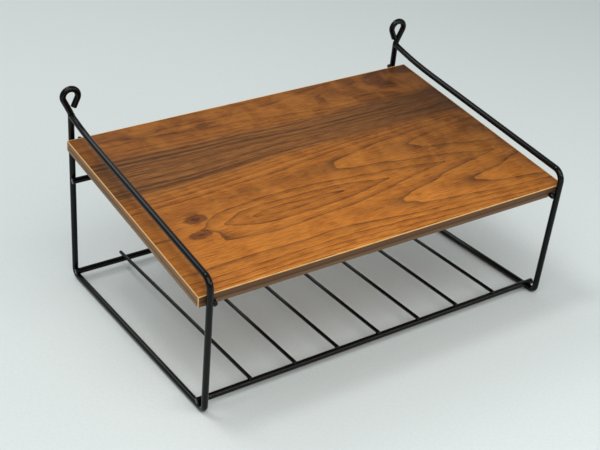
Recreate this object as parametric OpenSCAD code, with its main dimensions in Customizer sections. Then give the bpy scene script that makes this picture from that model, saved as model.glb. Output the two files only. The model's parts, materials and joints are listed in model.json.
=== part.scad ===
// Two-tier wire shelf: a veneered board over a wire rack, between two bent-rod side frames.
// It stands on its bottom rails, or hangs on a wall from the two eyes at its top rear.
// Everything is drawn square to the board, with upright legs, and standing() then tips it
// forward until the bottom rails lie level. X runs across the width and the front faces -Y.
// In the square pose, Y = 0 is the front legs and Z = 0 the front bottom corners, both to
// rod centres. All sizes are in millimetres.

/* [Frame] */
// Width between the two side frames, rod centre to rod centre
frame_w = 400; // [300:1:600]
// Depth between the front and rear legs, rod centre to rod centre
frame_d = 292; // [220:1:360]
// Height of the top rails above the front bottom corners
top_rail_h = 150; // [145:1:200]
// How far the rear bottom corners lie below the front ones
rear_drop = 44; // [0:1:70]
// Height of the rear brace rod above the front bottom corners
brace_h = 80; // [50:1:105]

/* [Rods] */
// Diameter of the rods that form the frames, rails and brace
rod_d = 6.4; // [5:0.1:7]
// Diameter of the thin rack bars
bar_d = 3.8; // [2.5:0.1:5]
// Diameter of the two rods that bear the board
bearer_d = 5; // [4:0.5:6]

/* [Bends] */
// Bend radius at the top front corners, to the rod's centre
top_bend_r = 11; // [7:0.5:16]
// Length over which each top rail curves up to its weld on the rear leg
rail_ease_len = 65; // [40:1:90]
// How far that curve lifts the rail
rail_ease_rise = 4.2; // [0.5:0.1:5]
// Bend radius at the bottom corners, to the rod's centre
bottom_bend_r = 7.5; // [6:0.5:7.5]
// Bend radius at the neck below each eye, to the rod's centre
neck_bend_r = 12; // [6:1:14]

/* [Hanging eyes] */
// Radius of the eye's round top, to the rod's centre
eye_r = 8; // [7:0.5:10]
// Height of the eye's centre above the top rails
eye_rise = 26; // [24:1:36]
// Height above the top rails of the point that both sides of the eye aim at
neck_rise = 6.5; // [5:0.5:8]

/* [Rack] */
// Number of thin bars
bar_count = 7; // [3:1:9]
// Spacing of the thin bars
bar_pitch = 49; // [20:1:50]
// Distance of the rack's rails from the corners, along the bottom rails
rack_inset = 9; // [9:0.5:14]
// How far the bars pass the centre of the front rail
bar_front_over = 2; // [0:0.5:3]
// How far the bars pass the centre of the rear rail
bar_rear_over = 6.5; // [3:0.5:8]

/* [Board] */
// Width of the board
board_w = 418; // [410:1:640]
// Gap between the front legs and the board's front face
board_front_gap = 1.2; // [0.5:0.1:4]
// Depth of the board
board_d = 278; // [200:1:282]
// Thickness of the board with both veneers
board_t = 11.4; // [10:0.2:16]
// Height of the board's top above the front bottom corners
board_top_h = 132; // [125:1:135]
// Thickness of the top and bottom veneers
veneer_t = 0.7; // [0.5:0.1:1.5]
// Thickness of the edge bands
band_t = 1; // [0.5:0.1:2]

/* [Bearers] */
// Depth of the grooves in the board's underside that take the bearers
groove_depth = 4.8; // [3:0.1:6]
// Width of those grooves beyond the bearers' diameter
groove_play = 0.4; // [0.2:0.1:1]
// How far the bearers' front ends stand in front of the front legs' centres
bearer_front_over = 0.5; // [0:0.5:2]
// Distance of the upturned rear stops in front of the rear legs' centres
stop_inset = 4.5; // [3:0.5:5]
// Height of the left stop's end above the bearer's centre
left_stop_h = 6.5; // [6:0.5:14]
// Height of the right stop's end above the bearer's centre
right_stop_h = 9; // [6:0.5:14]
// Lean of the stops towards the middle, in degrees
stop_lean = 18; // [0:1:25]

/* [Hidden] */
$fn = 48;

RACK_BARS = [for (i = [1 : bar_count]) str("rack_bar_", i)];

paint = "#16171a";
walnut = "#8a5128";
band_wood = "#96724a";
core_wood = "#b89464";

rod_r = rod_d / 2;
bearer_r = bearer_d / 2;

// Where a straight run of rod laps over the end of a bend
bend_thinning = 0.02;
bend_lap = 0.01;

// The standing pose: the bottom rails' length and the angle that levels them
tilt = atan(rear_drop / frame_d);
bottom_rail_len = norm([frame_d, rear_drop]);

// The top rail's square-cut end is welded into the rear leg this far from the leg's centre.
// A short straight run follows it, and then the curve down to the rail's level.
weld_gap = rod_r - 1;
weld_stub = 3;
rail_ease_angle = 2 * atan(rail_ease_rise / rail_ease_len);
rail_ease_r = rail_ease_len / sin(rail_ease_angle);

// Angles between the bottom rails and the legs
front_corner_angle = 90 + tilt;
rear_corner_angle = 90 - tilt;

// The extreme points in depth are on the top front and rear bottom bends
front_reach = (top_rail_h - top_bend_r) * sin(tilt) - top_bend_r * cos(tilt) + top_bend_r + rod_r;
rear_reach = bottom_rail_len - bend_take(rear_corner_angle, bottom_bend_r) + bottom_bend_r + rod_r;
mid_depth = (rear_reach - front_reach) / 2;

// An eye is a teardrop: two straight sides that aim at the neck and a round top between them
eye_height = eye_rise - neck_rise;
eye_lean = asin(eye_r / eye_height);
eye_side_len = eye_height * cos(eye_lean);
neck_take = bend_take(180 - eye_lean, neck_bend_r);
tail_gap = 0.3;
tail_start = rod_r / tan(eye_lean) + tail_gap;

// The board in the square pose
board_y = rod_r + board_front_gap;
board_z = board_top_h - board_t;
core_w = board_w - 2 * band_t;
core_d = board_d - 2 * band_t;
core_t = board_t - 2 * veneer_t;

// The bearers lie against the inner sides of the legs
bearer_x = frame_w / 2 - rod_r - bearer_r;
bearer_z = board_z + groove_depth - bearer_r;
bearer_bend_r = bearer_r + 2.5;
stop_y = frame_d - stop_inset;

// Length that a bend takes from each of the two arms that meet at angle
function bend_take(angle, bend_r) = bend_r / tan(angle / 2);

// Tips the square-drawn shelf onto its bottom rails and centres it over the origin
module standing() {
    translate([0, -mid_depth, rod_r]) rotate([tilt, 0, 0]) children();
}

// Rod along +Z, shaped as a wire bender does it. Each step feeds a straight length, rolls the
// rod about itself and bends it towards +X: [feed, roll, bend radius, bend angle]. The last
// step only feeds. Bending draws the rod a hair thinner than its straights, which lap over it.
module bent_rod(steps, r, i = 0) {
    feed = steps[i][0];
    roll = steps[i][1];
    bend_r = steps[i][2];
    angle = steps[i][3];
    translate([0, 0, -bend_lap]) cylinder(r = r, h = feed + 2 * bend_lap);
    if (i < len(steps) - 1)
        translate([0, 0, feed]) rotate([0, 0, roll]) translate([bend_r, 0, 0]) {
            rotate([90, 0, 180])
                rotate_extrude(angle = angle)
                    translate([bend_r, 0]) circle(r = r - bend_thinning);
            rotate([0, angle, 0]) translate([-bend_r, 0, 0]) bent_rod(steps, r, i + 1);
        }
}

// One rod: from the rear leg along the top rail, down the front leg, along the bottom rail,
// up the rear leg and round the eye, whose end stops beside the neck
module left_frame_rod() {
    front_take = bend_take(front_corner_angle, bottom_bend_r);
    rear_take = bend_take(rear_corner_angle, bottom_bend_r);
    weld_y = frame_d - weld_gap;
    weld_z = top_rail_h + rail_ease_rise + weld_stub * sin(rail_ease_angle);
    level_len = weld_y - weld_stub * cos(rail_ease_angle) - rail_ease_len - top_bend_r;
    rail_end = [weld_stub, 180, rail_ease_r, rail_ease_angle];
    top_rail = [level_len, 180, top_bend_r, 90];
    front_leg = [top_rail_h - top_bend_r - front_take, 0, bottom_bend_r, 180 - front_corner_angle];
    bottom_rail = [bottom_rail_len - front_take - rear_take, 0, bottom_bend_r, 180 - rear_corner_angle];
    rear_leg = [rear_drop + top_rail_h + neck_rise - rear_take - neck_take, -90, neck_bend_r, eye_lean];
    outer_side = [eye_side_len - neck_take, 180, eye_r, 180 + 2 * eye_lean];
    tail = [eye_side_len - tail_start];
    translate([-frame_w / 2, weld_y, weld_z])
        rotate([rail_ease_angle, 0, 0])
            rotate([90, 90, 0])
                bent_rod([rail_end, top_rail, front_leg, bottom_rail, rear_leg, outer_side, tail], rod_r);
}

module left_side_frame() {
    color(paint) standing() left_frame_rod();
}

module right_side_frame() {
    color(paint) standing() mirror([1, 0, 0]) left_frame_rod();
}

// Rod across the width, flush with the outer faces of the side frames
module cross_rod(depth, height) {
    color(paint) standing()
        translate([-frame_w / 2 - rod_r, depth, height])
            rotate([0, 90, 0])
                cylinder(r = rod_r, h = frame_w + rod_d);
}

// A place above the bottom rails: distance along them from the front corner, and height
// over their centres, as [depth, height] in the square pose
function over_rails(along, up) = [
    along * cos(tilt) + up * sin(tilt),
    up * cos(tilt) - along * sin(tilt)
];

module rack_front_rail() {
    place = over_rails(rack_inset, rod_d);
    cross_rod(place.x, place.y);
}

module rack_rear_rail() {
    place = over_rails(bottom_rail_len - rack_inset, rod_d);
    cross_rod(place.x, place.y);
}

module rear_brace_rod() {
    cross_rod(frame_d - rod_d, brace_h);
}

// Thin bar on top of the two rack rails
module rack_bar(i) {
    place = over_rails(rack_inset - bar_front_over, rod_d + rod_r + bar_d / 2);
    bar_len = bottom_rail_len - 2 * rack_inset + bar_front_over + bar_rear_over;
    color(paint) standing()
        translate([(i - (bar_count + 1) / 2) * bar_pitch, place.x, place.y])
            rotate([-90 - tilt, 0, 0])
                cylinder(r = bar_d / 2, h = bar_len);
}

// Rod under the left end of the board, its rear end turned up behind the board as a stop
module left_bearer_rod(stop_h) {
    under_board = [bearer_front_over + stop_y - bearer_bend_r, stop_lean, bearer_bend_r, 90];
    stop = [stop_h - bearer_bend_r];
    translate([-bearer_x, -bearer_front_over, bearer_z])
        rotate([-90, -90, 0])
            bent_rod([under_board, stop], bearer_r);
}

module left_board_bearer() {
    color(paint) standing() left_bearer_rod(left_stop_h);
}

module right_board_bearer() {
    color(paint) standing() mirror([1, 0, 0]) left_bearer_rod(right_stop_h);
}

// Block of the board: inset from its sides by rim, from level low up by t, with the grooves cut
module board_layer(rim_x, rim_y, low, t) {
    groove_w = bearer_d + groove_play;
    standing() difference() {
        translate([rim_x - board_w / 2, board_y + rim_y, board_z + low])
            cube([board_w - 2 * rim_x, board_d - 2 * rim_y, t]);
        for (side = [-1, 1])
            translate([side * bearer_x - groove_w / 2, board_y - 1, board_z - 1])
                cube([groove_w, board_d + 2, groove_depth + 1]);
    }
}

module board_core() {
    color(core_wood) board_layer(band_t, band_t, veneer_t, core_t);
}

module board_top_veneer() {
    color(walnut) standing()
        translate([-core_w / 2, board_y + band_t, board_top_h - veneer_t])
            cube([core_w, core_d, veneer_t]);
}

module board_bottom_veneer() {
    color(walnut) board_layer(band_t, band_t, 0, veneer_t);
}

// Band across the front or rear edge, as wide as the board
module long_edge_band(y) {
    color(band_wood) intersection() {
        board_layer(0, 0, 0, board_t);
        standing() translate([-board_w / 2, y, board_z]) cube([board_w, band_t, board_t]);
    }
}

// Band along the left or right edge, between the long bands
module end_edge_band(x) {
    color(band_wood) standing()
        translate([x, board_y + band_t, board_z])
            cube([band_t, core_d, board_t]);
}

module front_edge_band() {
    long_edge_band(board_y);
}

module rear_edge_band() {
    long_edge_band(board_y + board_d - band_t);
}

module left_edge_band() {
    end_edge_band(-board_w / 2);
}

module right_edge_band() {
    end_edge_band(board_w / 2 - band_t);
}

left_side_frame();
right_side_frame();
rack_front_rail();
rack_rear_rail();
rear_brace_rod();
left_board_bearer();
right_board_bearer();
board_core();
board_top_veneer();
board_bottom_veneer();
front_edge_band();
rear_edge_band();
left_edge_band();
right_edge_band();
for (i = [1 : bar_count])
    rack_bar(i);
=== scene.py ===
"""Wire desk shelf: bent black rods and a walnut-veneered board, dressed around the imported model."""
import json
import math

import bmesh
import bpy
from mathutils import Matrix, Vector


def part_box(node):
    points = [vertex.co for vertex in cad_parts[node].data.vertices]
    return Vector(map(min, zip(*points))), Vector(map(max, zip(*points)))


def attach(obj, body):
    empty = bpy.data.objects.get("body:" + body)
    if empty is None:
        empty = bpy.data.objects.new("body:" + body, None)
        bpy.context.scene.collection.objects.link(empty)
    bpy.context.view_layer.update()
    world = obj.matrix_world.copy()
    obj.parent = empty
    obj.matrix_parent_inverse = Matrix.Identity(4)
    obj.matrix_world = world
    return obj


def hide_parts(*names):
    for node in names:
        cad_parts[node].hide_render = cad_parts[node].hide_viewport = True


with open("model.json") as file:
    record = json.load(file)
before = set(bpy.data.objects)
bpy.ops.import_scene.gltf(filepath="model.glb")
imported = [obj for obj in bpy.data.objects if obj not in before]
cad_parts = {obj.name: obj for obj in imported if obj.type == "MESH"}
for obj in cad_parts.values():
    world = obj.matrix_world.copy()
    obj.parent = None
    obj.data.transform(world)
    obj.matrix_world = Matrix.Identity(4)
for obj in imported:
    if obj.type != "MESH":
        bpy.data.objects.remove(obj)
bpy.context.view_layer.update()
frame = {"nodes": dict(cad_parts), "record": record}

MM = 0.001


# ---------------------------------------------------------------- measures taken from the CAD

mounts = {m["name"]: m for m in frame["record"]["mounts"]}
up = Vector(mounts["board_top"]["axis"])
tilt = math.atan2(-up.y, up.z)
# Turns the square pose, in which the legs stand upright, into the frame's own
square = Matrix.Rotation(tilt, 4, "X")


def square_box(node):
    """(low, high) of a CAD node, measured in the square pose, in metres."""
    back = square.inverted()
    points = [back @ v.co for v in frame["nodes"][node].data.vertices]
    low = Vector([min(p[i] for p in points) for i in range(3)])
    high = Vector([max(p[i] for p in points) for i in range(3)])
    return low, high


side_low, side_high = square_box("left_side_frame")
brace_low, brace_high = square_box("rear_brace_rod")
rail_low, rail_high = (Vector(c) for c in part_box("rack_front_rail"))
_, skin_high = square_box("board_top_veneer")
edge_low, edge_high = square_box("front_edge_band")
_, back_high = square_box("rear_edge_band")

rod_r = (brace_high.z - brace_low.z) / 2
eye_rise = 26 * MM
neck_rise = 6.5 * MM
eye_r = 8 * MM
top_bend_r = 11 * MM
bottom_bend_r = 7.5 * MM
neck_bend_r = 12 * MM
weld_gap = rod_r - 1 * MM
weld_stub = 3 * MM
rail_ease_len = 65 * MM
rail_ease_rise = 4.2 * MM
tail_gap = 0.3 * MM
# Sizes of the spot welds on the rods, the thin bars and the bearers
rod_weld = 2.9 * MM
bar_weld = 2.1 * MM
bearer_weld = 2.5 * MM

half_w = rail_high.x - rod_r
front_leg_y = side_low.y + rod_r
rear_leg_y = side_high.y - rod_r
frame_d = rear_leg_y - front_leg_y
eye_z = side_high.z - rod_r - eye_r
top_rail_z = eye_z - eye_rise
# The bottom rails' centre lines lie one rod radius above the floor
front_corner_z = (rod_r - front_leg_y * math.sin(tilt)) / math.cos(tilt)
rear_corner_z = (rod_r - rear_leg_y * math.sin(tilt)) / math.cos(tilt)
bottom_len = math.hypot(frame_d, front_corner_z - rear_corner_z)

# The board's middle, and its half sizes
board_mid = Vector((0, (edge_low.y + back_high.y) / 2, (skin_high.z + edge_low.z) / 2))
board_matrix = square @ Matrix.Translation(board_mid)
half_x = (edge_high.x - edge_low.x) / 2
half_y = (back_high.y - edge_low.y) / 2
half_z = (edge_high.z - edge_low.z) / 2
_, bearer_high = square_box("right_board_bearer")
bearer_r = 2.5 * MM
bearer_bend_r = 5 * MM
stop_lean = math.radians(18)
groove_x = bearer_high.x - bearer_r
groove_half = 2.7 * MM
groove_depth = 4.8 * MM
groove_inner, groove_outer = groove_x - groove_half, groove_x + groove_half
groove_top = -half_z + groove_depth
veneer_arris = 0.06 * MM


# ---------------------------------------------------------------- mesh helpers

SMOOTH_ANGLE = math.radians(35)
LONGEST_STEP = 12 * MM
# A cut end's rounding, as (depth, loss of radius) pairs in units of the rounding
END_EASE = [(0, 1.0), (0.3, 0.4), (0.7, 0.1), (1.0, 0)]
# A nugget's waist, as (offset along its axis, radius) pairs in units of its size
NUGGET = [
    (-0.62, 1.0),
    (-0.42, 0.86),
    (-0.2, 0.74),
    (0, 0.7),
    (0.2, 0.74),
    (0.42, 0.86),
    (0.62, 1.0),
]


def new_object(name, bm, matrix, material):
    """Turns a bmesh into an object, which finish_piece later sets on the root body."""
    bmesh.ops.recalc_face_normals(bm, faces=bm.faces)
    bm.transform(matrix)
    mesh = bpy.data.meshes.new(name)
    bm.to_mesh(mesh)
    bm.free()
    obj = bpy.data.objects.new(name, mesh)
    bpy.context.scene.collection.objects.link(obj)
    for face in mesh.polygons:
        face.use_smooth = True
    mesh.materials.append(material)
    obj.modifiers.new("normals", "EDGE_SPLIT").split_angle = SMOOTH_ANGLE
    bpy.context.view_layer.update()
    return obj


class Turtle:
    """Follows a rod as a wire bender shapes it, and keeps the points of its centre line."""

    def __init__(self, start, heading, side):
        self.at = Vector(start)
        self.heading = Vector(heading).normalized()
        self.side = Vector(side).normalized()
        self.points = [self.at.copy()]

    def feed(self, length):
        steps = max(1, round(length / LONGEST_STEP))
        for i in range(steps):
            self.at = self.at + self.heading * (length / steps)
            self.points.append(self.at.copy())
        return self

    def bend(self, radius, degrees, roll=0):
        if roll:
            self.side = Matrix.Rotation(math.radians(roll), 3, self.heading) @ self.side
        centre = self.at + self.side * radius
        axis = self.heading.cross(self.side)
        steps = max(3, round(degrees / 5), round(math.radians(degrees) * radius / LONGEST_STEP))
        for i in range(steps):
            turn = Matrix.Rotation(math.radians(degrees / steps), 3, axis)
            self.at = centre + turn @ (self.at - centre)
            self.heading = turn @ self.heading
            self.side = turn @ self.side
            self.points.append(self.at.copy())
        return self


def ring_of(bm, centre, u, v, radius, sides):
    """A ring of vertices around centre, in the plane of u and v."""
    ring = []
    for k in range(sides):
        a = 2 * math.pi * k / sides
        ring.append(bm.verts.new(centre + (u * math.cos(a) + v * math.sin(a)) * radius))
    return ring


def skin(bm, rings):
    """Closes a row of vertex rings into a tube with flat ends."""
    for a, b in zip(rings, rings[1:]):
        count = len(a)
        for k in range(count):
            bm.faces.new((a[k], a[(k + 1) % count], b[(k + 1) % count], b[k]))
    bm.faces.new(list(reversed(rings[0])))
    bm.faces.new(rings[-1])


def sweep(bm, points, radius, sides=28, round_end=0.35 * MM):
    """A round rod along points, with softly broken cut ends."""
    first = (points[1] - points[0]).normalized()
    last = (points[-1] - points[-2]).normalized()
    stations = []
    for depth, shrink in END_EASE:
        stations.append((points[0] + first * depth * round_end, radius - shrink * round_end))
    for p in points[1:-1]:
        stations.append((p, radius))
    for depth, shrink in reversed(END_EASE):
        stations.append((points[-1] - last * depth * round_end, radius - shrink * round_end))
    tangent = first
    normal = tangent.orthogonal().normalized()
    rings = []
    for i, (p, r) in enumerate(stations):
        before = stations[max(i - 1, 0)][0]
        after = stations[min(i + 1, len(stations) - 1)][0]
        way = (after - before).normalized()
        turn = tangent.rotation_difference(way)
        normal = (turn @ normal).normalized()
        tangent = way
        other = tangent.cross(normal).normalized()
        rings.append(ring_of(bm, p, normal, other, r, sides))
    skin(bm, rings)


def turned(bm, centre, axis, profile, sides=20, wide=None, squeeze=1.0):
    """A closed solid of revolution: profile holds (offset along axis, radius) pairs. Across the
    direction wide, its radius keeps its size; across the other it is squeezed."""
    axis = Vector(axis).normalized()
    u = Vector(wide).normalized() if wide is not None else axis.orthogonal().normalized()
    v = axis.cross(u).normalized() * squeeze
    skin(bm, [ring_of(bm, centre + axis * offset, u, v, r, sides) for offset, r in profile])


def spot_weld(bm, centre, axis, size):
    """The waisted nugget where two crossed rods were fused, filling the crease between them."""
    turned(bm, centre, axis, [(o * size, r * size) for o, r in NUGGET])


# ---------------------------------------------------------------- shader helpers

class Shader:
    """Builds a material's nodes with short calls."""

    def __init__(self, name, place=None):
        self.material = bpy.data.materials.new(name)
        self.material.use_nodes = True
        self.tree = self.material.node_tree
        self.tree.nodes.clear()
        self.output = self.tree.nodes.new("ShaderNodeOutputMaterial")
        self.principled = self.tree.nodes.new("ShaderNodeBsdfPrincipled")
        self.link(self.principled.outputs["BSDF"], self.output.inputs["Surface"])
        self.coords = self.tree.nodes.new("ShaderNodeTexCoord").outputs["Object"]
        if place is not None:
            # Coordinates measured from place, in its axes
            mapping = self.tree.nodes.new("ShaderNodeMapping")
            mapping.vector_type = "TEXTURE"
            mapping.inputs["Location"].default_value = place.to_translation()
            mapping.inputs["Rotation"].default_value = place.to_euler()
            self.link(self.coords, mapping.inputs["Vector"])
            self.coords = mapping.outputs["Vector"]

    def link(self, source, target):
        self.tree.links.new(source, target)

    def put(self, value, target):
        if isinstance(value, bpy.types.NodeSocket):
            self.link(value, target)
        elif isinstance(value, (tuple, list)) and len(value) == 3 and target.type == "RGBA":
            target.default_value = (*value, 1)
        else:
            target.default_value = value

    def set(self, name, value):
        self.put(value, self.principled.inputs[name])

    def math(self, operation, a, b=None, c=None):
        node = self.tree.nodes.new("ShaderNodeMath")
        node.operation = operation
        for value, socket in zip((a, b, c), node.inputs):
            if value is not None:
                self.put(value, socket)
        return node.outputs[0]

    def split(self, vector):
        node = self.tree.nodes.new("ShaderNodeSeparateXYZ")
        self.link(vector, node.inputs[0])
        return node.outputs

    def join(self, x, y, z):
        node = self.tree.nodes.new("ShaderNodeCombineXYZ")
        for value, socket in zip((x, y, z), node.inputs):
            self.put(value, socket)
        return node.outputs[0]

    def bell(self, offset, sharpness):
        """1 where offset is 0, falling off smoothly on both sides."""
        squared = self.math("MULTIPLY", offset, offset)
        return self.math("EXPONENT", self.math("MULTIPLY", squared, -sharpness))

    def scaled(self, x, by_x, y, by_y, z=0.0):
        """The point (x * by_x, y * by_y, z), where a stretched noise is read."""
        return self.join(self.math("MULTIPLY", x, by_x), self.math("MULTIPLY", y, by_y), z)

    def noise(self, vector, scale=1.0, detail=3.0, roughness=0.5, distortion=0.0):
        node = self.tree.nodes.new("ShaderNodeTexNoise")
        self.link(vector, node.inputs["Vector"])
        node.inputs["Scale"].default_value = scale
        node.inputs["Detail"].default_value = detail
        node.inputs["Roughness"].default_value = roughness
        node.inputs["Distortion"].default_value = distortion
        return node.outputs["Fac"]

    def spread(self, value, low, high, out_low=0.0, out_high=1.0, smooth=True):
        node = self.tree.nodes.new("ShaderNodeMapRange")
        node.interpolation_type = "SMOOTHSTEP" if smooth else "LINEAR"
        for v, socket in zip((value, low, high, out_low, out_high), node.inputs):
            self.put(v, socket)
        return node.outputs[0]

    def mix(self, factor, a, b, blend="MIX"):
        node = self.tree.nodes.new("ShaderNodeMix")
        node.data_type = "RGBA"
        node.blend_type = blend
        self.put(factor, node.inputs["Factor"])
        self.put(a, node.inputs["A"] if node.inputs["A"].type == "RGBA" else node.inputs[6])
        self.put(b, node.inputs["B"] if node.inputs["B"].type == "RGBA" else node.inputs[7])
        return node.outputs[2]

    def curve(self, value, points):
        node = self.tree.nodes.new("ShaderNodeFloatCurve")
        self.put(value, node.inputs["Value"])
        line = node.mapping.curves[0]
        line.points[0].location = points[0]
        line.points[1].location = points[-1]
        for x, y in points[1:-1]:
            line.points.new(x, y)
        for p in line.points:
            p.handle_type = "AUTO"
        node.mapping.update()
        return node.outputs[0]

    def bump(self, height, strength, distance):
        node = self.tree.nodes.new("ShaderNodeBump")
        node.inputs["Strength"].default_value = strength
        node.inputs["Distance"].default_value = distance
        self.link(height, node.inputs["Height"])
        self.link(node.outputs["Normal"], self.principled.inputs["Normal"])


def rgb(red, green, blue):
    """Scene-linear colour of an 8-bit sRGB one."""
    out = []
    for value in (red, green, blue):
        s = value / 255
        out.append(s / 12.92 if s <= 0.04045 else ((s + 0.055) / 1.055) ** 2.4)
    return tuple(out)


# ---------------------------------------------------------------- materials

def black_paint():
    """Dipped gloss enamel on rod: faint orange peel, dust on top and a few rubbed spots."""
    s = Shader("black_enamel")
    fine = s.noise(s.coords, 900, 2, 0.5)
    broad = s.noise(s.coords, 60, 4, 0.6)
    rubbed = s.spread(s.noise(s.coords, 240, 3, 0.7), 0.68, 0.8)
    normal = s.tree.nodes.new("ShaderNodeNewGeometry").outputs["Normal"]
    upward = s.spread(s.split(normal)[2], 0.5, 1.0)
    dust = s.math("MULTIPLY", upward, s.spread(s.noise(s.coords, 420, 5, 0.75), 0.5, 0.78))
    colour = s.mix(s.spread(broad, 0.3, 0.7), rgb(2, 2, 3), rgb(6, 6, 7))
    colour = s.mix(s.math("MULTIPLY", rubbed, 0.15), colour, rgb(40, 37, 34))
    colour = s.mix(s.math("MULTIPLY", dust, 0.03), colour, rgb(110, 108, 102))
    s.set("Base Color", colour)
    rough = s.math("ADD", s.spread(broad, 0.3, 0.7, 0.1, 0.17), s.math("MULTIPLY", dust, 0.1))
    s.set("Roughness", s.math("ADD", rough, s.math("MULTIPLY", rubbed, 0.12)))
    s.set("Specular IOR Level", 0.2)
    s.bump(s.math("ADD", fine, s.math("MULTIPLY", broad, 2.0)), 0.2, 0.00005)
    return s.material


# Ring height of the veneer, as (place, rings) pairs. Across the board, from its front edge at 0 to
# its rear edge at 1: two ridges beside a valley make the cathedral arches, and the deep valley
# behind them is the straight-grained zone.
RINGS_ACROSS = [
    (0.0, -2.9),
    (0.06, -0.3),
    (0.11, 1.05),
    (0.167, 1.5),
    (0.22, 1.1),
    (0.265, 0.62),
    (0.295, 0.24),
    (0.31, 0.0),
    (0.325, 0.24),
    (0.355, 0.62),
    (0.40, 1.3),
    (0.46, 1.8),
    (0.51, 1.2),
    (0.55, 0.0),
    (0.60, -2.4),
    (0.645, -4.4),
    (0.69, -5.0),
    (0.735, -4.4),
    (0.79, -2.2),
    (0.84, -0.45),
    (0.885, 0.15),
    (0.94, -0.35),
    (1.0, -1.8),
]
# Along the board, from its left end at 0 to its right end at 1
RINGS_ALONG = [(0.0, 0.0), (0.25, 0.02), (0.45, 0.15), (0.52, 0.35), (0.76, 1.35), (1.0, 2.35)]
# What the valley between the arches adds along the board: it closes on the knots at the left
VALLEY_ALONG = [
    (0.0, 1.2),
    (0.1, 1.0),
    (0.15, 0.5),
    (0.2, -0.3),
    (0.26, -0.95),
    (0.33, -1.3),
    (0.4, -1.35),
    (0.47, -1.15),
    (0.61, -0.6),
    (0.78, -0.3),
    (0.95, 0.0),
    (1.0, 0.0),
]
RING_OFFSET = 4.85
# The whole board's half sizes, bands included, over which the ring curves run
FIGURE_HALF_X = 0.209
FIGURE_HALF_Y = 0.139
# Each knot's centre and half sizes, in metres from the board's middle
KNOTS = [((-0.157, -0.036), (0.0125, 0.0075)), ((-0.164, -0.0595), (0.013, 0.0065))]


def ring_curve(s, value, pairs):
    """A curve node through pairs, for heights that leave the node's 0 to 1."""
    low = min(h for _, h in pairs)
    high = max(h for _, h in pairs)
    scaled = s.curve(value, [(at, (h - low) / (high - low)) for at, h in pairs])
    return s.math("MULTIPLY_ADD", scaled, high - low, low)


def walnut_figure(s, x, y):
    """Growth-ring height over the veneer: x along the grain and y across it, both in metres from
    the board's centre. Rings step by one."""
    # The straight-grained zone narrows from left to right
    from_zone = s.math("SUBTRACT", y, 0.046)
    near_zone = s.bell(from_zone, 230)
    squeeze = s.math("MULTIPLY", s.spread(x, -0.21, 0.03, 0.36, 0.0), near_zone)
    y = s.math("SUBTRACT", y, s.math("MULTIPLY", from_zone, squeeze))
    # Slow wandering of the grain
    wander = s.noise(s.scaled(x, 7, y, 12), 1, 1, 0.4)
    y = s.math("ADD", y, s.math("MULTIPLY", s.math("SUBTRACT", wander, 0.5), 0.013))
    across = s.spread(y, -FIGURE_HALF_Y, FIGURE_HALF_Y, 0, 1, smooth=False)
    along = s.spread(x, -FIGURE_HALF_X, FIGURE_HALF_X, 0, 1, smooth=False)
    in_valley = s.bell(s.math("ADD", y, 0.0527), 2600)
    rings = s.math("ADD", ring_curve(s, across, RINGS_ACROSS), ring_curve(s, along, RINGS_ALONG))
    rings = s.math("ADD", rings, s.math("MULTIPLY", ring_curve(s, along, VALLEY_ALONG), in_valley))
    ripple = s.noise(s.scaled(x, 16, y, 70, 4.0), 1, 2, 0.45)
    rings = s.math("ADD", rings, s.math("MULTIPLY", s.math("SUBTRACT", ripple, 0.5), 0.5))
    # The arches' tips land where the board shows them
    return s.math("ADD", rings, RING_OFFSET), y


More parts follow.
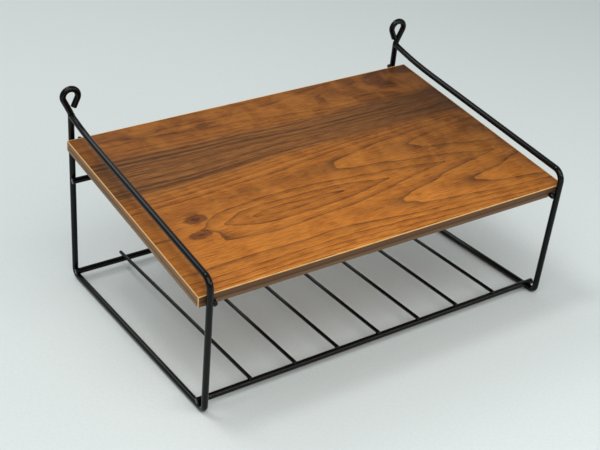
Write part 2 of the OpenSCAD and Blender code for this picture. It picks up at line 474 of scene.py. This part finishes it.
def walnut_veneer(name, plain=False):
    """Lacquered walnut veneer, grain along X. A plain one, for the underside, has no knots."""
    s = Shader(name, board_matrix)
    px, py = s.split(s.coords)[:2]
    rings, y = walnut_figure(s, px, py)
    dark_knot = 0.0
    for (kx, ky), (rx, ry) in ([] if plain else KNOTS):
        dx = s.math("DIVIDE", s.math("SUBTRACT", px, kx), rx)
        dy = s.math("DIVIDE", s.math("SUBTRACT", py, ky), ry)
        squared = s.math("ADD", s.math("MULTIPLY", dx, dx), s.math("MULTIPLY", dy, dy))
        away = s.math("SQRT", squared)
        wobble = s.math("MULTIPLY", s.math("SUBTRACT", s.noise(s.coords, 220, 3, 0.6), 0.5), 0.7)
        away = s.math("ADD", away, wobble)
        rings = s.math("ADD", rings, s.math("MULTIPLY", s.bell(away, 0.6), 0.35))
        whorl = s.spread(s.math("SINE", s.math("MULTIPLY", away, 9)), -1, 1, 0.7, 1.0)
        dark = s.math("MULTIPLY", s.spread(away, 1.2, 0.6), whorl)
        dark_knot = s.math("MAXIMUM", dark_knot, dark)
    phase = s.math("FRACT", rings)
    # Each ring darkens slowly, ends in a crisp dark line and starts light again
    late = s.math("POWER", phase, 2.4)
    line = s.math("MULTIPLY", s.spread(phase, 0.86, 0.97), s.spread(phase, 1.0, 0.985))
    number = s.math("FLOOR", rings)
    ring_tone = s.noise(s.join(number, 3.1, 7.7), 1.7, 0, 0.5)

    # Straight zone: darker brown and strongly streaked
    zone = s.math("MULTIPLY", s.spread(y, 0.018, 0.036), s.spread(y, 0.092, 0.070))
    streak = s.noise(s.scaled(px, 2, y, 260), 1, 5, 0.75)
    fine = s.noise(s.scaled(px, 60, py, 1500), 1, 3, 0.6)
    pores = s.spread(s.noise(s.scaled(px, 160, py, 2600), 1, 2, 0.5), 0.64, 0.72)
    shimmer = s.noise(s.scaled(px, 34, py, 26), 1, 3, 0.6, 0.4)

    light = rgb(200, 124, 44)
    base = rgb(178, 106, 36)
    brown = rgb(104, 57, 22)
    line_brown = rgb(62, 33, 14)
    zone_light = rgb(176, 118, 62)
    zone_dark = rgb(74, 46, 25)

    # Rings fade out of the straight zone's middle, where only streaks are left
    plain_middle = s.math("MULTIPLY", s.spread(y, 0.032, 0.043), s.spread(y, 0.066, 0.055))
    ringed = s.math("SUBTRACT", 1.0, s.math("MULTIPLY", plain_middle, 0.95))
    late = s.math("MULTIPLY", late, ringed)
    late = s.math("MULTIPLY", late, s.spread(y, 0.08, 0.1, 1.0, 0.4))
    line = s.math("MULTIPLY", line, ringed)

    colour = s.mix(s.spread(ring_tone, 0.3, 0.7), base, light)
    colour = s.mix(s.math("MULTIPLY", late, 0.7), colour, brown)
    zone_colour = s.mix(s.spread(streak, 0.4, 0.58), zone_dark, zone_light)
    colour = s.mix(s.math("MULTIPLY", zone, 0.88), colour, zone_colour)
    rear = s.math("MULTIPLY", s.spread(py, 0.05, 0.12), 0.4)
    colour = s.mix(rear, colour, rgb(98, 58, 28))
    # Painted shade: the board darkens towards the rear, the right and its front left corner
    painted_shade_rear = s.spread(py, -0.12, 0.01, 0.0, 0.26)
    to_right = s.spread(px, 0.0, FIGURE_HALF_X, 0.0, 0.44)
    painted_shade_right = s.math("MULTIPLY", to_right, s.spread(py, -0.12, -0.03, 0.5, 1.0))
    to_left = s.spread(px, -0.178, -0.198, 0.0, 0.2)
    painted_shade_left = s.math("MULTIPLY", to_left, s.spread(py, -0.03, -0.1, 0.25, 1.0))
    board_painted_shade = s.math("ADD", s.math("ADD", painted_shade_rear, painted_shade_right), painted_shade_left)
    colour = s.mix(board_painted_shade, colour, s.mix(1.0, colour, rgb(60, 46, 38), "MULTIPLY"))
    # Darker and redder towards the rear right corner
    rear_right_darkening = s.math("MULTIPLY", s.spread(s.math("ADD", px, py), 0.22, 0.31), 0.55)
    colour = s.mix(rear_right_darkening, colour, rgb(74, 38, 18))
    colour = s.mix(s.math("MULTIPLY", line, 0.45), colour, line_brown)
    darker = s.mix(1.0, colour, rgb(150, 124, 98), "MULTIPLY")
    streaky = s.math("MULTIPLY_ADD", zone, 0.5, 0.25)
    streaky = s.math("MULTIPLY", s.spread(streak, 0.48, 0.66), streaky)
    colour = s.mix(streaky, colour, darker)
    colour = s.mix(s.spread(fine, 0.42, 0.64, 0.0, 0.7), colour, darker)
    thread = s.noise(s.scaled(px, 26, py, 760, 2.0), 1, 3, 0.65)
    colour = s.mix(s.spread(thread, 0.5, 0.68, 0.0, 0.6), colour, darker)
    colour = s.mix(s.math("MULTIPLY", pores, 0.65), colour, rgb(46, 26, 13))
    off_zone = s.math("SUBTRACT", 1.0, zone)
    glow = s.math("MULTIPLY", s.spread(shimmer, 0.4, 0.65, 0.0, 0.16), off_zone)
    colour = s.mix(glow, colour, rgb(212, 138, 58))
    if not plain:
        colour = s.mix(s.math("MULTIPLY", dark_knot, 0.88), colour, rgb(64, 28, 15))
    s.set("Base Color", colour)
    s.set("Roughness", s.spread(fine, 0.3, 0.7, 0.4, 0.52))
    s.set("Specular IOR Level", 0.16)
    s.set("Coat Weight", 0.02)
    s.set("Coat Roughness", 0.2)
    height = s.math("SUBTRACT", fine, s.math("MULTIPLY", pores, 1.5))
    s.bump(s.math("SUBTRACT", height, s.math("MULTIPLY", line, 0.6)), 0.2, 0.00008)
    return s.material


def edge_wood(name, along, top, half_long):
    """Solid edge banding: its grain runs along axis number along. Its arris, at height top and at
    the far ends, is rubbed pale, and a dark seam runs along the middle of its face."""
    s = Shader(name, board_matrix)
    parts = s.split(s.coords)
    run, height = parts[along], parts[2]
    streak = s.noise(s.scaled(run, 9, height, 900, along), 1, 4, 0.6)
    fine = s.noise(s.scaled(run, 120, height, 3200, along), 1, 2, 0.6)
    wobble = s.noise(s.join(s.math("MULTIPLY", run, 14), 0.0, 5.0))
    wobble = s.math("MULTIPLY", s.math("SUBTRACT", wobble, 0.5), 0.002)
    level = s.math("ADD", height, wobble)
    # Painted shade and light: the long bands on the front and rear take darker colours than the short
    # bands on the ends, a shaded and a lit copy of one wood
    tan = rgb(150, 104, 58) if along == 1 else rgb(92, 62, 38)
    grey = rgb(146, 116, 82) if along == 1 else rgb(108, 84, 60)
    colour = s.mix(s.spread(level, 0.0005, -0.0045), tan, grey)
    seam = s.math("MULTIPLY", s.spread(level, -0.0022, -0.001), s.spread(level, 0.0008, -0.0004))
    colour = s.mix(s.math("MULTIPLY", seam, 0.85), colour, rgb(70, 44, 24))
    colour = s.mix(s.spread(streak, 0.4, 0.72, 0.0, 0.65), colour, rgb(74, 48, 28))
    colour = s.mix(s.spread(fine, 0.5, 0.75, 0.0, 0.4), colour, rgb(60, 40, 24))
    worn = s.noise(s.join(s.math("MULTIPLY", run, 70), 2.0, along), 1, 4, 0.7)
    edge = s.spread(height, top - 0.0011, top - 0.0004)
    ends = s.spread(s.math("ABSOLUTE", run), half_long - 0.0013, half_long - 0.0005)
    rubbed = s.math("MAXIMUM", edge, ends)
    rubbed = s.math("MULTIPLY", rubbed, s.spread(worn, 0.25, 0.55, 0.6, 1.0))
    colour = s.mix(rubbed, colour, rgb(206, 164, 108))
    s.set("Base Color", colour)
    s.set("Roughness", s.spread(fine, 0.3, 0.7, 0.42, 0.58))
    s.set("Specular IOR Level", 0.2)
    s.set("Coat Weight", 0.04)
    s.set("Coat Roughness", 0.3)
    s.bump(s.math("ADD", fine, streak), 0.25, 0.00006)
    return s.material


def core_board():
    """Pale blockboard, bare in the grooves."""
    s = Shader("blockboard", board_matrix)
    x, y, z = s.split(s.coords)
    grain = s.noise(s.scaled(x, 30, y, 900, s.math("MULTIPLY", z, 900)), 1, 4, 0.6)
    colour = s.mix(s.spread(grain, 0.35, 0.7), rgb(196, 164, 118), rgb(150, 116, 74))
    s.set("Base Color", colour)
    s.set("Roughness", s.spread(grain, 0.3, 0.7, 0.65, 0.8))
    s.bump(grain, 0.4, 0.0001)
    return s.material


paint = black_paint()


def finish_piece(obj, slot, *nodes):
    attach(obj, "root")
    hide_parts(*nodes)


# ---------------------------------------------------------------- the two side frames

# The weld collar, as (distance from the leg's centre line, radius) pairs in units of the rod's
# radius. It is a little narrower along X.
WELD_COLLAR = [(0.0, 1.17), (0.4, 1.2), (0.87, 1.17), (1.07, 1.08), (1.33, 1.02), (1.67, 0.97)]
COLLAR_SQUEEZE = 0.93


def side_frame(name, side):
    """One bent rod with its eye, seen from the left; the right one is its mirror image."""
    front_turn = math.degrees(math.pi / 2 - tilt)
    rear_turn = math.degrees(math.pi / 2 + tilt)
    front_take = bottom_bend_r * math.tan(math.radians(front_turn) / 2)
    rear_take = bottom_bend_r * math.tan(math.radians(rear_turn) / 2)
    eye_height = eye_rise - neck_rise
    lean = math.asin(eye_r / eye_height)
    side_len = eye_height * math.cos(lean)
    neck_take = neck_bend_r * math.tan(lean / 2)
    tail_start = rod_r / math.tan(lean) + tail_gap
    ease = 2 * math.atan(rail_ease_rise / rail_ease_len)
    weld_z = top_rail_z + rail_ease_rise + weld_stub * math.sin(ease)
    weld_y = rear_leg_y - weld_gap
    down = Vector((0, -math.cos(ease), -math.sin(ease)))
    turtle = Turtle((-half_w, weld_y, weld_z), down, (0, -math.sin(ease), math.cos(ease)))
    turtle.feed(weld_stub).bend(rail_ease_len / math.sin(ease), math.degrees(ease))
    level_len = frame_d - weld_gap - weld_stub * math.cos(ease) - rail_ease_len - top_bend_r
    turtle.feed(level_len).bend(top_bend_r, 90, 180)
    front_len = top_rail_z - front_corner_z - top_bend_r - front_take
    turtle.feed(front_len).bend(bottom_bend_r, front_turn)
    turtle.feed(bottom_len - front_take - rear_take).bend(bottom_bend_r, rear_turn)
    turtle.feed(top_rail_z + neck_rise - rear_corner_z - rear_take - neck_take)
    turtle.bend(neck_bend_r, math.degrees(lean), -90)
    turtle.feed(side_len - neck_take).bend(eye_r, 180 + 2 * math.degrees(lean), 180)
    turtle.feed(side_len - tail_start)
    bm = bmesh.new()
    sweep(bm, turtle.points, rod_r)
    # Weld collar where the top rail's end meets the rear leg
    joint = Vector((-half_w, rear_leg_y, weld_z + weld_gap * math.sin(ease)))
    collar = [(o * rod_r, r * rod_r) for o, r in WELD_COLLAR]
    turned(bm, joint, down, collar, wide=(0, 0, 1), squeeze=COLLAR_SQUEEZE)
    if side > 0:
        bmesh.ops.scale(bm, vec=(-1, 1, 1), verts=bm.verts)
    return new_object(name, bm, square, paint)


finish_piece(side_frame("left_wire_frame", -1), "black_paint", "left_side_frame")
finish_piece(side_frame("right_wire_frame", 1), "black_paint", "right_side_frame")


# ---------------------------------------------------------------- rack and brace

identity = Matrix.Identity(4)
CROSS_STEPS = 24
BAR_STEPS = 20
bar_bow = 0.12 * MM


def cross_rod(node):
    """A straight rod across the width, as a mesh to add welds to, and its middle."""
    low, high = (Vector(c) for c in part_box(node))
    centre = (low + high) / 2
    bm = bmesh.new()
    left, right = Vector((low.x, centre.y, centre.z)), Vector((high.x, centre.y, centre.z))
    sweep(bm, [left.lerp(right, i / CROSS_STEPS) for i in range(CROSS_STEPS + 1)], rod_r)
    return bm, centre


for node, name in (("rack_front_rail", "front_rail"), ("rack_rear_rail", "rear_rail")):
    bm, centre = cross_rod(node)
    for side in (-1, 1):
        spot_weld(bm, Vector((side * half_w, centre.y, centre.z - rod_r)), (0, 0, 1), rod_weld)
    finish_piece(new_object(name, bm, identity, paint), "black_paint", node)

bm, centre = cross_rod("rear_brace_rod")
leg_ward = square.to_3x3() @ Vector((0, 1, 0))
for side in (-1, 1):
    face = Vector((side * half_w, centre.y, centre.z)) + leg_ward * rod_r
    spot_weld(bm, face, leg_ward, rod_weld)
finish_piece(new_object("rear_brace", bm, identity, paint), "black_paint", "rear_brace_rod")

rear_rail_low, rear_rail_high = (Vector(c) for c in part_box("rack_rear_rail"))
rail_ys = ((rail_low.y + rail_high.y) / 2, (rear_rail_low.y + rear_rail_high.y) / 2)
bars = sorted(n for n in frame["nodes"] if n.startswith("rack_bar_"))
for i, node in enumerate(bars):
    low, high = (Vector(c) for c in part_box(node))
    centre = (low + high) / 2
    radius = (high.z - low.z) / 2
    bm = bmesh.new()
    # Each bar is a trace out of straight, as hand-laid wire is
    bow = bar_bow * math.sin(2.1 * i + 0.7)
    points = []
    for k in range(BAR_STEPS + 1):
        t = k / BAR_STEPS
        x = centre.x + bow * math.sin(math.pi * t)
        points.append(Vector((x, low.y + (high.y - low.y) * t, centre.z)))
    sweep(bm, points, radius, sides=20)
    for rail_y in rail_ys:
        spot_weld(bm, Vector((centre.x, rail_y, low.z)), (0, 0, 1), bar_weld)
    finish_piece(new_object(f"thin_bar_{i + 1}", bm, identity, paint), "black_paint", node)


# ---------------------------------------------------------------- bearers

def bearer(name, node, side):
    """A rod in the board's groove, its rear end turned up behind the board."""
    low, high = square_box(node)
    # The stop leans towards the middle, so the rod's outer face is at its straight part
    outer = low.x if side < 0 else -high.x
    x = outer + bearer_r
    z = low.z + bearer_r
    stop_y = high.y - bearer_r
    stop_len = (high.z - z - bearer_r * math.sin(stop_lean)) / math.cos(stop_lean)
    turtle = Turtle((x, low.y, z), (0, 1, 0), (math.sin(stop_lean), 0, math.cos(stop_lean)))
    turtle.feed(stop_y - low.y - bearer_bend_r).bend(bearer_bend_r, 90)
    turtle.feed(stop_len - bearer_bend_r)
    bm = bmesh.new()
    sweep(bm, turtle.points, bearer_r, sides=24, round_end=0.5 * MM)
    # It is welded to the front leg, just behind that leg's centre line
    spot_weld(bm, Vector((x - bearer_r, front_leg_y + 1.2 * MM, z)), (1, 0, 0), bearer_weld)
    if side > 0:
        bmesh.ops.scale(bm, vec=(-1, 1, 1), verts=bm.verts)
    return new_object(name, bm, square, paint)


finish_piece(bearer("left_bearer", "left_board_bearer", -1), "black_paint", "left_board_bearer")
finish_piece(bearer("right_bearer", "right_board_bearer", 1), "black_paint", "right_board_bearer")


# ---------------------------------------------------------------- board

def slab(name, low, high, material, grooved=False, bevel=0.25 * MM):
    """A board layer from low to high, measured from the board's middle, with the two grooves cut
    out of its underside where it is grooved, and its arrises eased by bevel."""
    if grooved:
        g0, g1 = groove_inner, groove_outer
        outline = [
            (low.x, low.z),
            (-g1, low.z),
            (-g1, groove_top),
            (-g0, groove_top),
            (-g0, low.z),
            (g0, low.z),
            (g0, groove_top),
            (g1, groove_top),
            (g1, low.z),
            (high.x, low.z),
            (high.x, high.z),
            (low.x, high.z),
        ]
    else:
        outline = [(low.x, low.z), (high.x, low.z), (high.x, high.z), (low.x, high.z)]
    bm = bmesh.new()
    front = [bm.verts.new((x, low.y, z)) for x, z in outline]
    rear = [bm.verts.new((x, high.y, z)) for x, z in outline]
    bm.faces.new(front)
    bm.faces.new(list(reversed(rear)))
    count = len(outline)
    for k in range(count):
        bm.faces.new((front[k], rear[k], rear[(k + 1) % count], front[(k + 1) % count]))
    obj = new_object(name, bm, board_matrix, material)
    obj.modifiers.clear()
    if bevel:
        soft = obj.modifiers.new("arris", "BEVEL")
        soft.width = bevel
        soft.segments = 3
        soft.limit_method = "ANGLE"
    obj.modifiers.new("normals", "WEIGHTED_NORMAL").keep_sharp = True
    return obj


def local_box(node):
    low, high = square_box(node)
    return low - board_mid, high - board_mid


top_walnut = walnut_veneer("walnut_veneer_top")
under_walnut = walnut_veneer("walnut_veneer_under", plain=True)
# The long bands' material carries painted shade, the short bands' material painted light
long_edge_painted_shade = edge_wood("banding_long_painted_shade", 0, half_z, half_x)
short_edge_painted_light = edge_wood("banding_short_painted_light", 1, half_z, half_y)

low, high = local_box("board_core")
core = slab("core", low, high, core_board(), grooved=True, bevel=0)
finish_piece(core, "core_wood", "board_core")
low, high = local_box("board_top_veneer")
top = slab("top_veneer", low, high, top_walnut, bevel=veneer_arris)
finish_piece(top, "walnut_veneer", "board_top_veneer")
low, high = local_box("front_edge_band")
finish_piece(slab("front_band", low, high, long_edge_painted_shade, grooved=True), "band_wood", "front_edge_band")
low, high = local_box("rear_edge_band")
finish_piece(slab("rear_band", low, high, long_edge_painted_shade, grooved=True), "band_wood", "rear_edge_band")
for node, name in (("left_edge_band", "left_band"), ("right_edge_band", "right_band")):
    low, high = local_box(node)
    finish_piece(slab(name, low, high, short_edge_painted_light), "band_wood", node)

# The underside's veneer lies in three strips between and beside the grooves
low, high = local_box("board_bottom_veneer")
strips = [(low.x, -groove_outer), (-groove_inner, groove_inner), (groove_outer, high.x)]
for i, (x0, x1) in enumerate(strips):
    strip_low, strip_high = Vector((x0, low.y, low.z)), Vector((x1, high.y, high.z))
    strip = slab(f"under_veneer_{i + 1}", strip_low, strip_high, under_walnut, bevel=veneer_arris)
    finish_piece(strip, "walnut_veneer", "board_bottom_veneer")


# ---------------------------------------------------------------- stage, light and camera

def backdrop():
    bm = bmesh.new()
    bmesh.ops.create_grid(bm, x_segments=2, y_segments=2, size=6)
    mesh = bpy.data.meshes.new("floor")
    bm.to_mesh(mesh)
    bm.free()
    floor = bpy.data.objects.new("floor", mesh)
    bpy.context.scene.collection.objects.link(floor)
    s = Shader("pale_paper")
    speck = s.noise(s.coords, 300, 3, 0.6)
    s.set("Base Color", s.mix(s.spread(speck, 0.3, 0.7), rgb(206, 213, 214), rgb(210, 217, 218)))
    s.set("Roughness", 0.7)
    s.set("Specular IOR Level", 0.3)
    mesh.materials.append(s.material)


def area_light(name, place, target, size, size_y, power, colour):
    data = bpy.data.lights.new(name, "AREA")
    data.shape = "RECTANGLE"
    data.size = size
    data.size_y = size_y
    data.energy = power
    data.color = colour
    obj = bpy.data.objects.new(name, data)
    bpy.context.scene.collection.objects.link(obj)
    obj.location = place
    obj.rotation_euler = (Vector(target) - Vector(place)).to_track_quat("-Z", "Y").to_euler()


backdrop()
world = bpy.data.worlds.new("studio")
bpy.context.scene.world = world
world.use_nodes = True
world.node_tree.nodes["Background"].inputs["Color"].default_value = (0.96, 1.0, 0.98, 1)
world.node_tree.nodes["Background"].inputs["Strength"].default_value = 0.42

area_light("front_softbox", (-0.35, -1.25, 1.35), (-0.05, -0.35, 0), 1.9, 1.3, 21, (1.0, 1.0, 0.98))
area_light("rear_softbox", (-0.4, 1.5, 1.7), (0.1, 1.1, 0), 1.4, 1.2, 13, (1.0, 1.0, 0.98))
area_light("overhead_lamp", (-0.4, 0.15, 1.7), (0, 0, 0.1), 0.3, 0.4, 6, (1.0, 0.99, 0.97))
area_light("side_strip", (0.9, -1.5, 0.75), (0.1, 0, 0.05), 1.3, 0.1, 6, (1.0, 1.0, 0.98))

camera = bpy.data.cameras.new("camera")
camera.lens = 73.47
camera.sensor_width = 36
camera.shift_x = -0.05
camera_object = bpy.data.objects.new("camera", camera)
bpy.context.scene.collection.objects.link(camera_object)
camera_object.location = (-0.6115, -0.9529, 0.6786)
camera_object.rotation_euler = [math.radians(a) for a in (62.035, -0.766, -33.395)]
bpy.context.scene.camera = camera_object
bpy.context.scene.view_settings.view_transform = "Standard"

bpy.context.view_layer.update()
